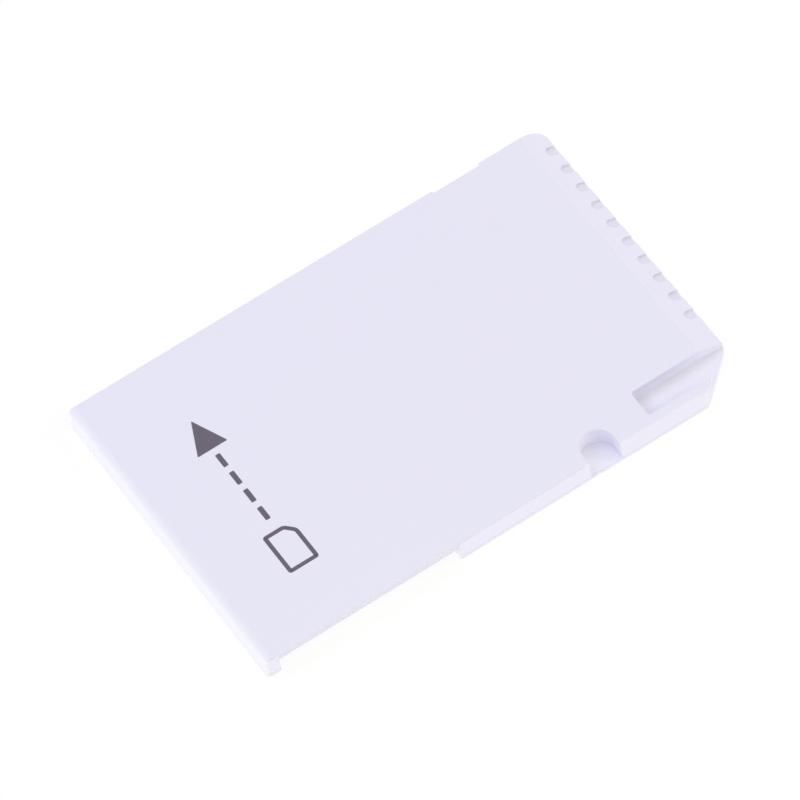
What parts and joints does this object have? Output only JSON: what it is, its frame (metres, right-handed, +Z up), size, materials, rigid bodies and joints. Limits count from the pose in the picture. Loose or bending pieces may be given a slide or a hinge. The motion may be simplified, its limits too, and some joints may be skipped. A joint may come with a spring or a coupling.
{
  "type": "memory card adapter",
  "caption": "Thin white plastic memory card adapter with a side pocket for a smaller card, slotted contacts at one end and a cut corner.",
  "frame": {"origin": "middle of the underside, where the adapter rests", "axes": "+X towards the contact end, +Y towards the closed long side (the card mouth faces -Y), +Z up through the label side"},
  "size_m": [0.031, 0.02, 0.0016],
  "materials": {
    "cover_plastic": "fine satin moulded white plastic",
    "base_plastic": "fine satin moulded white plastic",
    "board_laminate": "green lacquered glass-fibre laminate",
    "carrier_plastic": "black moulded plastic",
    "chip_resin": "black moulding resin",
    "contact_plating": "thin gold plating",
    "spring_plating": "gold-plated spring bronze",
    "capacitor_ceramic": "brown ceramic with tinned ends",
    "resistor_film": "black film with tinned ends"
  },
  "bodies": {
    "root": {"top_cover": "cover_plastic", "base_frame": "base_plastic", "circuit_board": "board_laminate", "contact_carrier": "carrier_plastic", "controller_chip": "chip_resin", "edge_contact_1": "contact_plating", "edge_contact_2": "contact_plating", "edge_contact_3": "contact_plating", "edge_contact_4": "contact_plating", "edge_contact_5": "contact_plating", "edge_contact_6": "contact_plating", "edge_contact_7": "contact_plating", "edge_contact_8": "contact_plating", "edge_contact_9": "contact_plating", "edge_contact_10": "contact_plating", "card_spring_1": "spring_plating", "card_spring_2": "spring_plating", "card_spring_3": "spring_plating", "card_spring_4": "spring_plating", "card_spring_5": "spring_plating", "card_spring_6": "spring_plating", "card_spring_7": "spring_plating", "card_spring_8": "spring_plating", "capacitor_1": "capacitor_ceramic", "capacitor_2": "capacitor_ceramic", "capacitor_3": "capacitor_ceramic", "capacitor_4": "capacitor_ceramic", "resistor_1": "resistor_film", "resistor_2": "resistor_film", "resistor_3": "resistor_film"}
  },
  "joints": []
}
